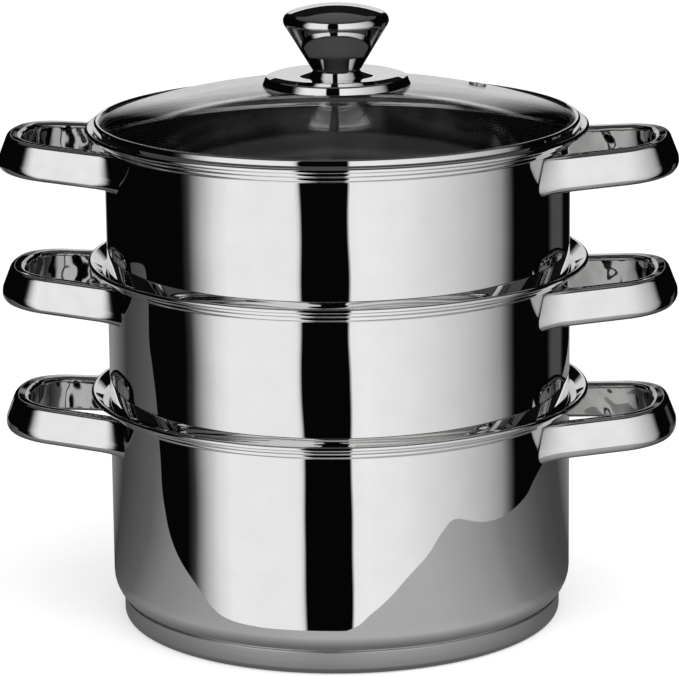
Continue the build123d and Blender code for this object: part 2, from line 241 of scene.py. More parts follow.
mirror_tones = ((0.84, 0.84, 0.835), (0.88, 0.88, 0.875))
mirror_steel = steel("mirror_steel", mirror_tones, gloss=0.008, haze=0.02, wave=0.0004)
vessel_steel = steel("vessel_steel", mirror_tones, gloss=0.008, haze=0.02, wave=0.001)
inner_polish = 0.07
inner_start = body_radius - sheet * 0.9
inner_end = body_radius - sheet * 0.5
vessel_nodes, vessel_links = vessel_steel.node_tree.nodes, vessel_steel.node_tree.links
vessel_place = vessel_nodes.new("ShaderNodeTexCoord")
vessel_flat = vessel_nodes.new("ShaderNodeVectorMath")
vessel_flat.operation = "MULTIPLY"
vessel_flat.inputs[1].default_value = (1, 1, 0)
vessel_links.new(vessel_place.outputs["Object"], vessel_flat.inputs[0])
vessel_reach = vessel_nodes.new("ShaderNodeVectorMath")
vessel_reach.operation = "LENGTH"
vessel_links.new(vessel_flat.outputs["Vector"], vessel_reach.inputs[0])
vessel_inside = vessel_nodes.new("ShaderNodeMapRange")
vessel_inside.inputs["From Min"].default_value = inner_start
vessel_inside.inputs["From Max"].default_value = inner_end
vessel_inside.inputs["To Min"].default_value = 1
vessel_inside.inputs["To Max"].default_value = 0
vessel_links.new(vessel_reach.outputs["Value"], vessel_inside.inputs["Value"])
vary_roughness(vessel_steel, vessel_inside.outputs["Result"], inner_polish)
pot_corners = [(0, pot_floor), (body_radius, pot_floor)]
pot_section = vessel_section(pot_corners, [pot_corner], rim_tops["pot"])
make_piece("pot_body", [turned(pot_section)], vessel_steel, "pot", ["pot_shell"])

# The base is an aluminium disc that spreads the heat, closed in under the pot by a pressed steel
# cap with a rounded edge. The cap is satin, turned on a lathe, and its upper edge shows as a seam.
cap_radius = 0.11535
cap_height = 0.012
cap_corner = 0.0035
cap_edge = 0.0005
satin_steel = steel(
    "satin_steel",
    ((0.60, 0.60, 0.60), (0.66, 0.66, 0.655)),
    gloss=0.30,
    haze=0.36,
    grain=(6, 6, 1500),
    relief=0.25,
    depth=0.00004,
)
cap_corners = [(0, 0), (cap_radius, 0), (cap_radius, cap_height), (cap_radius - sheet, cap_height)]
cap_outer = rounded_line(cap_corners, [cap_corner, cap_edge], ease=fine_ease)[0]
cap_inner = rounded_line(
    [(0, sheet), (cap_radius - sheet, sheet), (cap_radius - sheet, cap_height)], [cap_corner - sheet]
)[0]
cap_section = np.concatenate([cap_outer, cap_inner[-2::-1]])
make_piece("pot_base", [turned(cap_section)], satin_steel, "pot", ["pot_base_cap"])
rolled_aluminium = steel(
    "rolled_aluminium",
    ((0.76, 0.77, 0.78), (0.82, 0.83, 0.84)),
    gloss=0.35,
    haze=0.45,
    grain=(300, 8, 300),
)

# Each steamer is a drawn vessel like the pot's, with a shoulder that rests in the flare below, a
# drawn-in neck that drops into the mouth, and a flat bottom punched with rings of steam holes.
tier = 0.0695
nest = 0.0205
neck_radius = 0.1174
shoulder_drop = 0.007745
shoulder_bend = 0.0022
shoulder_slope = math.tan(math.radians(30))
steamer_corner = 0.005
hole_radius = 0.0032
hole_lip = 0.0001
ring_pitch = 0.021
rings = 3
ring_parts = {1: (8, 4, 4), 2: (6, 4, 4), 3: (14, 4, 4)}
plate_columns = 6 * rings * ring_parts[rings][0]
middle_columns = 6 * ring_parts[1][2]


def cell_edge(inside, outside, half, parts):
    """The edge of a hole's cell, a sector of a ring: out along one side, over, back in, and under.

    The cell lies between two radii and within half an angle on each side of its hole. Parts gives
    the number of steps along the outer arc, a side and the inner arc. Points are (radius, angle).
    """
    over, side, under = (np.linspace(0, 1, n, endpoint=False) for n in parts)
    ones = [np.ones(n) for n in parts]
    radius = [outside * ones[0], outside + (inside - outside) * side, inside * ones[2]]
    radius.append(inside + (outside - inside) * side)
    angle = [half * (1 - 2 * over), -half * ones[1], half * (2 * under - 1), half * ones[1]]
    return np.concatenate(radius), np.concatenate(angle)


def holed_ring(ring, parts, bottom):
    """The cells of one ring of holes: each cell's edge is drawn in to its hole, under and over the sheet.

    Rows run from the cell's edge on the lower face to the hole, up the hole and back on the upper
    face. A point of the hole lies towards the cell's edge from the hole's middle.
    """
    inside, outside = (ring - 0.5) * ring_pitch, (ring + 0.5) * ring_pitch
    radius, angle = cell_edge(inside, outside, math.pi / (6 * ring), parts)
    edge = np.stack([radius * np.cos(angle), radius * np.sin(angle)], -1)
    middle = np.array([ring * ring_pitch, 0])
    out = unit(edge - middle)
    across = [edge, middle + out * (hole_radius + hole_lip), middle + out * hole_radius]
    flat = np.stack([*across, *across[::-1]])
    low, high = bottom, bottom + sheet
    heights = np.array([low, low, low + hole_lip, high - hole_lip, high, high])[:, None]
    turn = np.arange(6 * ring)[:, None, None] * math.pi / (3 * ring)
    x = flat[..., 0] * np.cos(turn) - flat[..., 1] * np.sin(turn)
    y = flat[..., 0] * np.sin(turn) + flat[..., 1] * np.cos(turn)
    return np.stack([x, y, heights + 0 * x], -1)


def holed_middle(bottom):
    """The middle hole's cell: a flat ring under the sheet, the hole's wall and a ring over it."""
    low, high = bottom, bottom + sheet
    edge = ring_pitch / 2
    rows = [(edge, low), (hole_radius + hole_lip, low), (hole_radius, low + hole_lip)]
    rows += [(hole_radius, high - hole_lip), (hole_radius + hole_lip, high), (edge, high)]
    return turned(np.array(rows), middle_columns)[:, ::-1]


def steamer_grids(top):
    """The turned wall of a steamer from its holed plate outwards and back, and the cells of the plate."""
    bottom = top - tier - nest
    shoulder = top - tier - shoulder_drop
    neck_top = shoulder - (body_radius - neck_radius) * shoulder_slope
    plate = (rings + 0.5) * ring_pitch
    corners = [(plate, bottom), (neck_radius, bottom), (neck_radius, neck_top), (body_radius, shoulder)]
    section = vessel_section(corners, [steamer_corner, 0, shoulder_bend], top)
    cells = [holed_ring(ring, parts, bottom) for ring, parts in ring_parts.items()]
    return [turned(section, plate_columns), *cells, holed_middle(bottom)]


for steamer in ("lower_steamer", "upper_steamer"):
    make_piece(
        f"{steamer}_body",
        steamer_grids(rim_tops[steamer]),
        vessel_steel,
        steamer,
        [f"{steamer}_shell"],
    )

# The handles are cast steel bars bent to a loop. Their outer side is undercut and bellied, the feet
# spread in a hollow curve to the wall that they are welded to, and the loop rises to its tip.
handle_drop = 0.0087
handle_rise = math.radians(4.5)
bar_height = 0.0185
bar_half_width = 0.004
bar_belly = 0.0037
bar_belly_depth = 0.012
bar_bends = [0.0026, 0.0016, 0.0045, 0.006, 0.0026]
root = (body_radius - 0.022, 0.0457)
loop_corner = (body_radius + 0.0422, 0.0315)
loop_tip = (body_radius + 0.0491, 0)
loop_bends = [0.024, 0.075, 0.024]
foot_length = 0.0064
foot_spread = 0.005
foot_rows = 13
along_root = unit(np.array(loop_corner) - np.array(root))
root_along = float(np.dot(root, along_root))
root_to_wall = math.sqrt(root_along**2 - (np.dot(root, root) - body_radius**2)) - root_along


def bar_section():
    """The closed section of a bar: its points aside of the bar's line, to the outside, and up."""
    inside, outside = -bar_half_width, bar_half_width
    belly = outside + bar_belly
    corners = [(inside, 0), (inside, -bar_height), (belly, -bar_height)]
    corners += [(belly, -bar_belly_depth), (outside, 0)]
    around = [corners[-1], *corners, corners[0]]
    return rounded_line(around, bar_bends, steps=6, ease=0.0001)[0][1:-1]


def handle_grid(top, side):
    """A bar's section carried along the loop, from the wall to the wall.

    At a point of the loop the section's first number is laid to the outside, square to the loop,
    and its second upwards. The whole is turned by the rise about the wall's side, and for a left
    handle half a turn about the axis. Each end runs on straight to the middle of the wall's sheet,
    whose place along the bar is the root of the circle's equation, and spreads as its share squared.
    The mean of each end's points closes it there, inside the sheet.
    """
    corners = [root, loop_corner, loop_tip]
    corners += [(x, -y) for x, y in corners[1::-1]]
    path, along = rounded_line(corners, loop_bends, steps=22, ease=0.0005)
    section = bar_section()
    out = along[:, ::-1] * (-1, 1)
    flat = path[:, None] + out[:, None] * section[:, :1]
    loop = np.concatenate([flat, np.broadcast_to(section[:, 1:], flat[..., :1].shape)], -1)[1:-1]
    ahead = np.array([[*along[0], 0.0], [*-along[-1], 0.0]])
    aside = np.array([[*out[0], 0.0], [*out[-1], 0.0]])
    start = np.array([[*path[0], 0.0], [*path[-1], 0.0]])
    wall_at = start + ahead * (root_to_wall + foot_length)
    first = wall_at[:, None] + aside[:, None] * section[:, :1] + np.array([0, 0, 1]) * section[:, 1:]

    def place(points):
        """Points raised and moved to the rim: x' = x*cos - z*sin and z' = x*sin + z*cos from the wall."""
        x, z = points[..., 0] - body_radius, points[..., 2]
        cos, sin = math.cos(handle_rise), math.sin(handle_rise)
        placed = [x * cos - z * sin + body_radius, points[..., 1], x * sin + z * cos + top - handle_drop]
        return np.stack(placed, -1) * (side, side, 1)

    back = place(ahead) - place(0 * ahead)
    spread = place(aside) - place(0 * aside)
    foot = place(first)
    reach = foot + spread[:, None] * foot_spread
    middle = body_radius - sheet / 2
    run = back[:, None, :2]
    a = (run**2).sum(-1)
    b = (reach[..., :2] * run).sum(-1)
    c = (reach[..., :2] ** 2).sum(-1) - middle**2
    distance = (-b + np.sqrt(b**2 - a * c)) / a
    share = np.linspace(0, 1, foot_rows)[:, None, None, None]
    ends = foot + back[:, None] * distance[..., None] * share + spread[:, None] * foot_spread * share**2
    points = np.concatenate([ends[::-1, 0], place(loop), ends[:, 1]])
    closing = np.broadcast_to(points[[0, -1]].mean(axis=1, keepdims=True), points[[0, -1]].shape)
    points = np.concatenate([closing[:1], points, closing[1:]])
    # The inner side of the bar gets the cast share: rough cast steel, and painted shade that darkens its
    # colour inside the loop.
    cast = np.clip(0.5 - section[:, 0] / bar_half_width, 0, 1) * np.ones(points.shape[:2])
    return points, cast


cast_steel = steel(
    "cast_steel",
    ((0.82, 0.82, 0.815), (0.88, 0.88, 0.875)),
    gloss=0.02,
    haze=0.05,
    grain=(120, 120, 120),
    relief=0.12,
    depth=0.0002,
    wave=0.0004,
)
cast_nodes, cast_links = cast_steel.node_tree.nodes, cast_steel.node_tree.links
cast_and_shade_side = cast_nodes.new("ShaderNodeAttribute")
cast_and_shade_side.attribute_name = "cast_and_shade"
cast_place = cast_nodes.new("ShaderNodeTexCoord")
cast_lumps = cast_nodes.new("ShaderNodeTexNoise")
cast_lumps.inputs["Scale"].default_value = 75
cast_lumps.inputs["Detail"].default_value = 1
cast_links.new(cast_place.outputs["Object"], cast_lumps.inputs["Vector"])
cast_height = cast_nodes.new("ShaderNodeMath")
cast_height.operation = "MULTIPLY"
cast_links.new(cast_lumps.outputs["Fac"], cast_height.inputs[0])
cast_links.new(cast_and_shade_side.outputs["Fac"], cast_height.inputs[1])
cast_bump = cast_nodes.new("ShaderNodeBump")
cast_bump.inputs["Strength"].default_value = 0.8
cast_bump.inputs["Distance"].default_value = 0.0014
cast_links.new(cast_height.outputs["Value"], cast_bump.inputs["Height"])
cast_polish = cast_nodes["Principled BSDF"].inputs["Normal"]
cast_links.new(cast_polish.links[0].from_socket, cast_bump.inputs["Normal"])
cast_links.new(cast_bump.outputs["Normal"], cast_polish)
# The cast side's colour is darkened to a dull grey: partly the duller cast steel, partly painted shade
# inside the handle's loop.
cast_tone = cast_nodes["Principled BSDF"].inputs["Base Color"]
cast_and_painted_shade = cast_nodes.new("ShaderNodeMix")
cast_and_painted_shade.data_type = "RGBA"
cast_and_painted_shade.inputs["B"].default_value = (0.45, 0.45, 0.44, 1)
cast_links.new(cast_and_shade_side.outputs["Fac"], cast_and_painted_shade.inputs["Factor"])
cast_links.new(cast_tone.links[0].from_socket, cast_and_painted_shade.inputs["A"])
cast_links.new(cast_and_painted_shade.outputs["Result"], cast_tone)
vary_roughness(cast_steel, cast_and_shade_side.outputs["Fac"], 0.06)
for vessel, top in rim_tops.items():
    for hand, side in (("right", 1), ("left", -1)):
        bar, cast_and_shade = handle_grid(top, side)
        make_piece(
            f"{vessel}_{hand}_handle",
            [bar],
            cast_steel,
            vessel,
            [f"{vessel}_handle_{hand}"],
            cast=cast_and_shade,
        )

# The lid is a dome of clear tempered glass, 4 mm thick with a ground edge. A channel of rolled
# steel goes round it, over a strip of white silicone, and rests in the flare of the top rim.
glass_radius = 0.39957
glass_middle = float(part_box("lid_glass")[1].z) - glass_radius
glass_thickness = 0.004
glass_edge = 0.12465
glass_hole = 0.005
glass_bevel = 0.0012
glass_rows = 60


def dome_heights(radius, r):
    """The height of a sphere about the dome's middle: the middle's, plus the root of radius^2 - r^2."""
    return glass_middle + np.sqrt(radius**2 - r**2)


def glass_section():
    """The closed section of the dome: under face out to the ground edge, over it and back over the top."""
    inner = glass_radius - glass_thickness
    out = np.linspace(glass_hole, glass_edge - glass_bevel, glass_rows)
    under = np.stack([out, dome_heights(inner, out)], -1)
    over = np.stack([out, dome_heights(glass_radius, out)], -1)[::-1]
    low, high = dome_heights(inner, glass_edge), dome_heights(glass_radius, glass_edge)
    edge = np.array([(glass_edge, low + glass_bevel), (glass_edge, high - glass_bevel)])
    return np.concatenate([under, edge, over, under[:1]])


clear_glass = bpy.data.materials.new("clear_glass")
clear_glass.use_nodes = True
glass_nodes, glass_links = clear_glass.node_tree.nodes, clear_glass.node_tree.links
glass_shader = glass_nodes["Principled BSDF"]
glass_shader.inputs["Transmission Weight"].default_value = 1
glass_shader.inputs["IOR"].default_value = 1.5
glass_place = glass_nodes.new("ShaderNodeTexCoord")
glass_cloud = glass_nodes.new("ShaderNodeTexNoise")
glass_cloud.inputs["Scale"].default_value = 30
glass_links.new(glass_place.outputs["Object"], glass_cloud.inputs["Vector"])
glass_tint = glass_nodes.new("ShaderNodeValToRGB")
glass_tint.color_ramp.elements[0].color = (0.93, 0.955, 0.945, 1)
glass_tint.color_ramp.elements[1].color = (0.97, 0.985, 0.98, 1)
glass_links.new(glass_cloud.outputs["Fac"], glass_tint.inputs["Fac"])
glass_links.new(glass_tint.outputs["Color"], glass_shader.inputs["Base Color"])
glass_film = glass_nodes.new("ShaderNodeMapRange")
glass_film.inputs["From Min"].default_value = 0.45
glass_film.inputs["From Max"].default_value = 0.8
glass_film.inputs["To Min"].default_value = 0.0
glass_film.inputs["To Max"].default_value = 0.03
glass_links.new(glass_cloud.outputs["Fac"], glass_film.inputs["Value"])
glass_links.new(glass_film.outputs["Result"], glass_shader.inputs["Roughness"])
make_piece(
    "lid_dome", [turned(glass_section())], clear_glass, "lid", ["lid_glass"], crease=20
)

band_radius = 0.1257
band_base = float(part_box("lid_rim_band")[0].z)
band_top = float(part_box("lid_rim_band")[1].z)
band_sheet = 0.0006
band_ledge = 0.006
band_curl = band_radius - 0.0024
band_curl_depth = 0.00125
band_bends = [0.0018, 0.00115, 0.00115]
ring_ease = 0.00004
band_corners = [(band_radius - band_ledge, band_base), (band_radius, band_base)]
band_corners += [(band_radius, band_top), (band_curl, band_top), (band_curl, band_top - band_curl_depth)]
band_line = rounded_line(band_corners, band_bends, ease=ring_ease)
band_section = sheet_section(*band_line, band_sheet)
make_piece("lid_band", [turned(band_section)], mirror_steel, "lid", ["lid_rim_band"])

white_silicone = bpy.data.materials.new("white_silicone")
white_silicone.use_nodes = True
silicone_nodes, silicone_links = white_silicone.node_tree.nodes, white_silicone.node_tree.links
silicone_shader = silicone_nodes["Principled BSDF"]
silicone_shader.inputs["Subsurface Weight"].default_value = 0.3
silicone_shader.inputs["Subsurface Radius"].default_value = (0.002, 0.002, 0.002)
silicone_place = silicone_nodes.new("ShaderNodeTexCoord")
silicone_cloud = silicone_nodes.new("ShaderNodeTexNoise")
silicone_cloud.inputs["Scale"].default_value = 180
silicone_links.new(silicone_place.outputs["Object"], silicone_cloud.inputs["Vector"])
silicone_tint = silicone_nodes.new("ShaderNodeValToRGB")
silicone_tint.color_ramp.elements[0].color = (0.70, 0.70, 0.68, 1)
silicone_tint.color_ramp.elements[1].color = (0.80, 0.80, 0.79, 1)
silicone_links.new(silicone_cloud.outputs["Fac"], silicone_tint.inputs["Fac"])
silicone_links.new(silicone_tint.outputs["Color"], silicone_shader.inputs["Base Color"])
silicone_dull = silicone_nodes.new("ShaderNodeMapRange")
silicone_dull.inputs["To Min"].default_value = 0.45
silicone_dull.inputs["To Max"].default_value = 0.6
silicone_links.new(silicone_cloud.outputs["Fac"], silicone_dull.inputs["Value"])
silicone_links.new(silicone_dull.outputs["Result"], silicone_shader.inputs["Roughness"])
seal_side = band_radius - band_sheet
seal_inside = seal_side - 0.0052
seal_bevel = 0.0012
seal_gap = 0.00002
seal_base = band_base + band_sheet
seal_top = seal_base + 0.0042
seal_reach = np.linspace(seal_inside, glass_edge, 20)
seal_under = dome_heights(glass_radius - glass_thickness, seal_reach)
seal_section = np.concatenate(
    [
        [(seal_inside, seal_base), (seal_side - seal_bevel, seal_base)],
        [(seal_side, seal_base + seal_bevel), (seal_side, seal_top), (glass_edge, seal_top)],
        np.stack([seal_reach, seal_under - seal_gap], -1)[::-1],
        [(seal_inside, seal_base)],
    ]
)
make_piece(
    "glass_strip",
    [turned(seal_section)],
    white_silicone,
    "lid",
    ["glass_edge_seal"],
    crease=30,
)

# The steam vent is a small steel eyelet right of the knob. It is pushed through a hole in the
# glass, square to it, and rolled over a ring on the inside.
vent_offset = 0.081
vent_bearing = math.radians(29)
vent_lean = math.asin(vent_offset / glass_radius)
vent_bore = 0.0017
vent_tube = 0.0024
vent_lip = 0.0034
vent_low = -0.00545
vent_lip_top = vent_low + 0.0006
vent_flange = 0.0046
vent_top = 0.0009
vent_bends = [0.0002, 0.00025, 0.0002, 0.00005, 0.00005, 0.0001, 0.00045, 0.00035]
backing_bore = 0.00245
backing_reach = 0.005
backing_low = -0.00485
backing_top = -0.00405
backing_bends = [0.0001] * 4
vent_columns = 64
plain_steel = steel(
    "plain_steel",
    ((0.66, 0.66, 0.655), (0.76, 0.76, 0.75)),
    gloss=0.12,
    haze=0.25,
    grain=(500, 500, 500),
)


def on_the_glass(grid):
    """A grid about the axis moved to the vent.

    It is raised by the dome's radius and leaned over, x' = x*cos + z*sin and z' = z*cos - x*sin, then
    turned to its bearing in the same way, and set on the dome's middle.
    """
    x, y, z = grid[..., 0], grid[..., 1], grid[..., 2] + glass_radius
    lean_cos, lean_sin = math.cos(vent_lean), math.sin(vent_lean)
    x, z = x * lean_cos + z * lean_sin, z * lean_cos - x * lean_sin
    turn_cos, turn_sin = math.cos(vent_bearing), math.sin(vent_bearing)
    return np.stack([x * turn_cos - y * turn_sin, x * turn_sin + y * turn_cos, z + glass_middle], -1)


def ring_section(outline, bends):
    """A closed section of straight runs and arcs, from corners that run round it."""
    around = [outline[-1], *outline, outline[0]]
    points = rounded_line(around, bends, steps=5, ease=ring_ease)[0][1:-1]
    return np.concatenate([points, points[:1]])


vent_outline = [(vent_bore, vent_low), (vent_lip, vent_low), (vent_lip, vent_lip_top)]
vent_outline += [(vent_tube, vent_lip_top), (vent_tube, 0), (vent_flange, 0)]
vent_outline += [(vent_flange, vent_top), (vent_bore, vent_top)]
vent_grid = on_the_glass(turned(ring_section(vent_outline, vent_bends), vent_columns))
make_piece("vent", [vent_grid], plain_steel, "lid", ["vent_eyelet"])
backing = [(backing_bore, backing_low), (backing_reach, backing_low)]
backing += [(backing_reach, backing_top), (backing_bore, backing_top)]
backing_grid = on_the_glass(turned(ring_section(backing, backing_bends), vent_columns))
make_piece("vent_ring", [backing_grid], plain_steel, "lid", ["vent_backing_ring"])

# The knob stands on a pressed skirt with a steep edge and a dished top. It is spun from steel: a
# narrow foot, a cone that opens upwards, a rounded edge and a low dome, mirror polished.
knob_foot = 0.0122
knob_radius = 0.02735
knob_bend = 0.00475
knob_bend_height = 0.0259
knob_height = 0.0345
knob_hole = 0.0066
knob_columns = 180
collar_height = 0.007
knob_base = float(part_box("knob_shell")[1].z) - knob_height
skirt_base = knob_base - collar_height
skirt_edge = skirt_base + 0.0053
skirt_shoulder = skirt_edge - 0.0014
skirt_dish = skirt_edge - 0.0004
skirt_corners = [(0.0383, skirt_base), (0.0367, skirt_shoulder), (0.0325, skirt_edge)]
skirt_corners += [(0.022, skirt_dish), (0.0134, knob_base), (knob_hole, knob_base)]
skirt_bends = [0.0016, 0.006, 0.012, 0.0016]
skirt_section = sheet_section(*rounded_line(skirt_corners, skirt_bends, steps=12), sheet)
skirt_grid = turned(skirt_section, knob_columns)
make_piece("knob_plinth", [skirt_grid], mirror_steel, "lid", ["knob_skirt"])


def knob_line(inset):
    """The knob's outline from its foot up to the middle of its top, every face moved in by the inset.

    The cone's line touches the edge's circle: it leans by the angle to the circle's middle and the
    angle whose sine is the circle's radius over the distance to it. The dome's circle touches the
    edge's circle too, so their middles and the meeting point lie on one line.
    """
    middle = np.array([knob_radius - knob_bend, knob_base + knob_bend_height])
    across = middle[0] - knob_foot
    lean = math.atan2(across, knob_bend_height)
    lean += math.asin(knob_bend / math.hypot(across, knob_bend_height))
    bend = knob_bend - inset
    joint = middle + bend * np.array([math.cos(lean), -math.sin(lean)])
    low = knob_base + inset
    foot = joint[0] - (joint[1] - low) * math.tan(lean)
    below = knob_height - knob_bend_height - knob_bend
    dome = knob_bend + (middle[0] ** 2 + below**2) / (2 * below)
    centre = knob_base + knob_height - dome
    rise = math.atan2(middle[1] - centre, middle[0])
    edge = np.linspace(-lean, rise, 25)[:, None]
    top = np.linspace(rise, math.pi / 2, 25)[1:, None]
    cone = np.linspace((foot, low), joint, 12)[:-1]
    edge_arc = middle + bend * np.concatenate([np.cos(edge), np.sin(edge)], 1)
    dome_arc = (dome - inset) * np.concatenate([np.cos(top), np.sin(top)], 1) + (0, centre)
    return np.concatenate([[(knob_hole, low)], cone, edge_arc, dome_arc])


knob_section = np.concatenate([knob_line(sheet)[::-1], knob_line(0)])
knob_tones = ((0.83, 0.83, 0.825), (0.87, 0.87, 0.865))
knob_steel = steel("knob_steel", knob_tones, gloss=0.02, haze=0.05)
knob_grid = turned(knob_section, knob_columns)
make_piece("knob", [knob_grid], knob_steel, "lid", ["knob_shell"])

# Inside the knob a threaded boss takes the screw, whose slotted head, steel washer and soft
# washers clamp the glass. These, and the core of the base, keep the forms that the CAD gives them.
for node, finish in {
    "pot_base_core": rolled_aluminium,
    "knob_boss": plain_steel,
    "knob_screw": plain_steel,
    "screw_washer": plain_steel,
    "knob_seal_upper": white_silicone,
    "knob_seal_lower": white_silicone,
}.items():
    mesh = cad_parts[node].data
    mesh.materials.clear()
    mesh.materials.append(finish)

# The studio has a pale floor and a white background. Pale and dark cards stand round the table,
# which only polished surfaces mirror, as cards do round polished ware in a picture like this one.
view_turn = math.radians(5)
across = np.array([math.cos(view_turn), math.sin(view_turn)])
towards = np.array([math.sin(view_turn), -math.cos(view_turn)])
floor_mesh = bpy.data.meshes.new("floor")
floor_mesh.from_pydata([(-6, -6, 0), (6, -6, 0), (6, 6, 0), (-6, 6, 0)], [], [(0, 1, 2, 3)])
floor = bpy.data.objects.new("floor", floor_mesh)
bpy.context.scene.collection.objects.link(floor)
floor_finish = bpy.data.materials.new("pale_floor")
floor_finish.use_nodes = True
floor_nodes, floor_links = floor_finish.node_tree.nodes, floor_finish.node_tree.links
floor_shader = floor_nodes["Principled BSDF"]
floor_shader.inputs["Base Color"].default_value = (0.9, 0.9, 0.9, 1)
floor_shader.inputs["Roughness"].default_value = 0.8
floor_seen = floor_nodes.new("ShaderNodeLightPath")
floor_lift = floor_nodes.new("ShaderNodeMath")
floor_lift.operation = "MULTIPLY"
floor_lift.inputs[1].default_value = 0.5
floor_shader.inputs["Emission Color"].default_value = (1, 1, 1, 1)
floor_links.new(floor_seen.outputs["Is Camera Ray"], floor_lift.inputs[0])
floor_links.new(floor_lift.outputs["Value"], floor_shader.inputs["Emission Strength"])
floor_mesh.materials.append(floor_finish)
floor.visible_glossy = False
floor.visible_transmission = False


def card_object(name, mesh):
    """A card that polished surfaces mirror, and that neither lights the object nor shows itself."""
    card = bpy.data.objects.new(name, mesh)
    bpy.context.scene.collection.objects.link(card)
    card.visible_camera = False
    card.visible_diffuse = False
    card.visible_shadow = False
    card.visible_volume_scatter = False
    return card


def glow(name):
    """A finish that gives light of its own, and nothing else."""
    finish = bpy.data.materials.new(name)
    finish.use_nodes = True
    nodes, links = finish.node_tree.nodes, finish.node_tree.links
    nodes.remove(nodes["Principled BSDF"])
    light = nodes.new("ShaderNodeEmission")
    links.new(light.outputs["Emission"], nodes["Material Output"].inputs["Surface"])
    return finish, light


card_turn = view_turn - math.pi / 2


def tone_ramp(nodes, links, sweep, tones):
    """Brightness by bearing: the sweep goes round once and is read off between the given stops."""
    ramp = nodes.new("ShaderNodeValToRGB")
    links.new(sweep.outputs["Fac"], ramp.inputs["Fac"])
    stops = ramp.color_ramp.elements
    stops.remove(stops[1])
    for bearing, tone in tones:
        stop = stops.new(bearing / 360 + 0.5)
        stop.color = (tone, tone, tone, 1)
    stops.remove(stops[0])
    return ramp.outputs["Color"]


def toned_card(name, mesh, tones, changes=(), by_height=True):
    """A card whose brightness goes by the bearing from the camera.

    Each change names another list of tones and where it takes over, between two heights or between
    two distances from the object's axis.
    """
    finish, light = glow(f"{name}_tones")
    nodes, links = finish.node_tree.nodes, finish.node_tree.links
    place = nodes.new("ShaderNodeTexCoord")
    turn = nodes.new("ShaderNodeMapping")
    turn.inputs["Rotation"].default_value = (0, 0, -card_turn)
    links.new(place.outputs["Object"], turn.inputs["Vector"])
    sweep = nodes.new("ShaderNodeTexGradient")
    sweep.gradient_type = "RADIAL"
    links.new(turn.outputs["Vector"], sweep.inputs["Vector"])
    split = nodes.new("ShaderNodeSeparateXYZ")
    links.new(place.outputs["Object"], split.inputs["Vector"])
    reach = nodes.new("ShaderNodeVectorMath")
    reach.operation = "LENGTH"
    links.new(place.outputs["Object"], reach.inputs[0])
    measure = split.outputs["Z"] if by_height else reach.outputs["Value"]
    colour = tone_ramp(nodes, links, sweep, tones)
    for other_tones, low, high in changes:
        rise = nodes.new("ShaderNodeMapRange")
        rise.inputs["From Min"].default_value = low
        rise.inputs["From Max"].default_value = high
        links.new(measure, rise.inputs["Value"])
        mixed = nodes.new("ShaderNodeMix")
        mixed.data_type = "RGBA"
        links.new(rise.outputs["Result"], mixed.inputs["Factor"])
        links.new(colour, mixed.inputs["A"])
        links.new(tone_ramp(nodes, links, sweep, other_tones), mixed.inputs["B"])
        colour = mixed.outputs["Result"]
    links.new(colour, light.inputs["Color"])
    mesh.materials.append(finish)
    return card_object(name, mesh)


# Brightness of the cards by their bearing from the camera, in degrees to its right: two white
# sheets in front with a black gap between them, black cards at both sides, and behind the object a
# narrow pale sheet, brightest along its top edge, under a dark ceiling.
room_radius = 1.3
room_low = -1.1
room_top = 1.3
front_tones = (
    (-78, 0.002), (-74, 0.04), (-67, 0.45), (-60, 0.78), (-53, 0.92), (-22, 0.91), (-18.4, 0.86),
    (-17.8, 0.002), (4.4, 0.002), (5.2, 0.90), (12, 0.94), (32, 0.86), (56, 0.66), (66, 0.56),
    (75, 0.46), (83, 0.32), (88, 0.12), (92, 0.002),
)
low_tones = ((-180, 0.85), (-170, 0.70), (-160, 0.002), *front_tones)
low_tones += ((121, 0.002), (126, 0.07), (138, 0.07), (143, 0.002), (160, 0.002), (170, 0.70), (180, 0.85))
middle_tones = ((-180, 0.72), (-170, 0.68), (-166, 0.002), *front_tones, (166, 0.002), (170, 0.68))
middle_tones += ((180, 0.72),)
edge_tones = ((-180, 1), (-168, 1), (-166, 0.002), *front_tones, (166, 0.002), (168, 1), (180, 1))
high_tones = ((-180, 0.01), (-140, 0.002), *front_tones, (140, 0.002), (180, 0.01))
shell_changes = [(middle_tones, 0.08, 0.12), (edge_tones, 0.66, 0.665), (high_tones, 0.70, 0.71)]
shell_line = np.array([(0.001, room_low), (room_radius, room_low), (room_radius, room_top)])
shell_points = turned(shell_line, 96)
shell_mesh = bpy.data.meshes.new("card_shell")
shell_faces = grid_faces(shell_points.shape[:-1], 0)
shell_mesh.from_pydata(shell_points.reshape(-1, 3).tolist(), [], shell_faces.tolist())
toned_card("card_shell", shell_mesh, low_tones, shell_changes)

ceiling_mesh = bpy.data.meshes.new("ceiling")
ceiling_corners = [(-2, -2, room_top), (-2, 2, room_top), (2, 2, room_top), (2, -2, room_top)]
ceiling_mesh.from_pydata(ceiling_corners, [], [(0, 1, 2, 3)])
ceiling_tones = ((-180, 0.10), (-120, 0.05), (-60, 0.01), (60, 0.01), (120, 0.05), (180, 0.10))
toned_card("ceiling_card", ceiling_mesh, [(0, 0.08)], [(ceiling_tones, 1.31, 1.8)], by_height=False)

# The table top as the steel mirrors it: grey, darker away from the camera, and cut off in front by
# the white sheets and at the left by the black card. Points are (to the right, towards the camera).
table_corners = np.array([
    (-0.82, -0.50), (-0.95, -0.28), (-0.88, -0.19), (-0.76, -0.14), (-0.64, -0.06), (-0.483, -0.005),
    (-0.377, 0.036), (-0.275, 0.084), (-0.20, 0.125), (-0.138, 0.145), (-0.075, 0.176), (0.01, 0.200),
    (0.045, 0.224), (0.111, 0.251), (0.18, 0.258), (0.245, 0.263), (0.29, 0.243), (0.321, 0.158),
    (0.352, 0.067), (0.373, -0.007), (0.399, -0.103), (0.40, -0.40), (0, -0.80), (-0.55, -0.74),
])


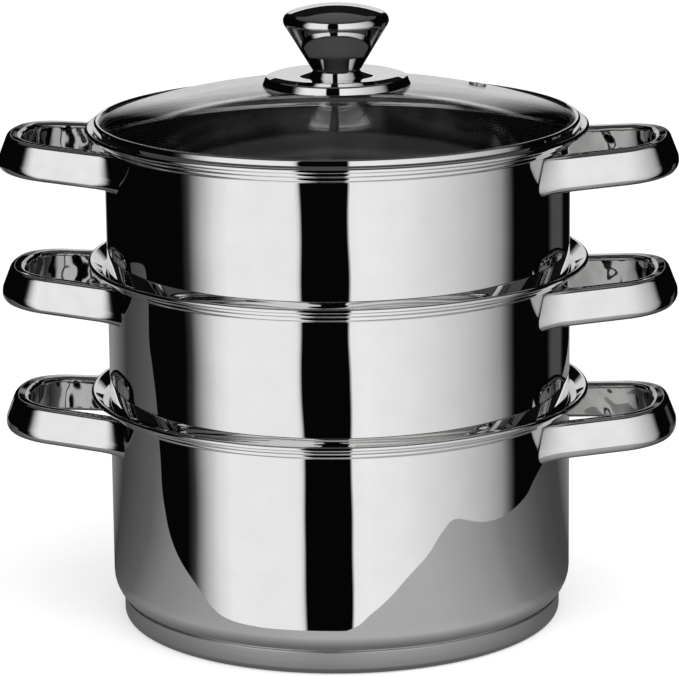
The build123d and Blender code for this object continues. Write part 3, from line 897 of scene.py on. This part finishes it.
def smooth_loop(corners, steps=8):
    """A closed Catmull-Rom curve.

    Over a share s of a span from b to c, with a before and d after it, a point is half of
    2b + (c - a)s + (2a - 5b + 4c - d)s^2 + (3b - a - 3c + d)s^3.
    """
    a, b, c, d = (np.roll(corners, -n, axis=0)[:, None] for n in range(-1, 3))
    s = np.linspace(0, 1, steps, endpoint=False)[:, None]
    curve = 2 * b + (c - a) * s + (2 * a - 5 * b + 4 * c - d) * s**2 + (3 * b - a - 3 * c + d) * s**3
    return curve.reshape(-1, 2) / 2


table_edge = smooth_loop(table_corners)
table_points = table_edge[:, :1] * across + table_edge[:, 1:] * towards
table_points = np.concatenate([table_points, np.full((len(table_points), 1), -0.0002)], 1)
table_mesh = bpy.data.meshes.new("table")
table_mesh.from_pydata(table_points.tolist(), [], [tuple(range(len(table_points)))])
table_tones = (
    (-180, 0.30), (-145, 0.25), (-122, 0.05), (-92, 0.12), (-75, 0.24), (-62, 0.29), (-45, 0.36),
    (0, 0.46), (33, 0.44), (55, 0.35), (67, 0.27), (73, 0.20), (81, 0.16), (89, 0.12), (99, 0.08),
    (112, 0.06), (122, 0.06), (145, 0.25), (180, 0.30),
)
# Within 0.118 to 0.14 m of the axis the mirrored table goes down to a dark tone: a painted shadow round
# the pot's foot.
toned_card("table_card", table_mesh, [(0, 0.15)], [(table_tones, 0.118, 0.14)], by_height=False)

world = bpy.context.scene.world or bpy.data.worlds.new("studio")
bpy.context.scene.world = world
world.use_nodes = True
world_nodes, world_links = world.node_tree.nodes, world.node_tree.links
world_nodes.clear()
world_out = world_nodes.new("ShaderNodeOutputWorld")
white_seen = world_nodes.new("ShaderNodeBackground")
white_seen.inputs["Color"].default_value = (1, 1, 1, 1)
soft_light = world_nodes.new("ShaderNodeBackground")
soft_light.inputs["Color"].default_value = (0.55, 0.55, 0.55, 1)
ray = world_nodes.new("ShaderNodeLightPath")
camera_or_gloss = world_nodes.new("ShaderNodeMath")
camera_or_gloss.operation = "MAXIMUM"
world_links.new(ray.outputs["Is Camera Ray"], camera_or_gloss.inputs[0])
world_links.new(ray.outputs["Is Glossy Ray"], camera_or_gloss.inputs[1])
any_seen = world_nodes.new("ShaderNodeMath")
any_seen.operation = "MAXIMUM"
world_links.new(camera_or_gloss.outputs[0], any_seen.inputs[0])
world_links.new(ray.outputs["Is Transmission Ray"], any_seen.inputs[1])
either = world_nodes.new("ShaderNodeMixShader")
world_links.new(any_seen.outputs[0], either.inputs["Fac"])
world_links.new(soft_light.outputs["Background"], either.inputs[1])
world_links.new(white_seen.outputs["Background"], either.inputs[2])
world_links.new(either.outputs["Shader"], world_out.inputs["Surface"])

lamp_data = bpy.data.lights.new("overhead_lamp", "AREA")
lamp_data.shape = "DISK"
lamp_data.size = 2.4
lamp_data.energy = 22
lamp = bpy.data.objects.new("overhead_lamp", lamp_data)
lamp.location = (0.5, -0.9, 2.2)
lamp.rotation_mode = "QUATERNION"
lamp.rotation_quaternion = (Vector((0, 0, 0.1)) - lamp.location).to_track_quat("-Z", "Y")
lamp.visible_glossy = False
bpy.context.scene.collection.objects.link(lamp)

# The camera stands at the photograph's place with a long lens: 1.83 m in front of the pot, a little
# to its right, looking down on it by 13 degrees. The rest of the framing is a shift of the film.
camera_distance = 1.8272
camera_aside = 0.0022
camera_height = 0.5855
camera_pitch = math.radians(12.75)
camera_roll = math.radians(0.6)
camera_data = bpy.data.cameras.new("camera")
camera_data.lens = 189.9
camera_data.sensor_width = 36
camera_data.shift_x = -0.00515
camera_data.shift_y = -0.0705
camera_data.clip_end = 50
camera = bpy.data.objects.new("camera", camera_data)
bpy.context.scene.collection.objects.link(camera)
camera_ground = across * camera_aside + towards * camera_distance
camera.location = (*camera_ground, camera_height)
camera_aim = Euler((math.pi / 2 - camera_pitch, 0, view_turn)).to_quaternion()
camera.rotation_mode = "QUATERNION"
camera.rotation_quaternion = camera_aim @ Quaternion((0, 0, 1), -camera_roll)
bpy.context.scene.camera = camera
bpy.context.scene.view_settings.view_transform = "Standard"
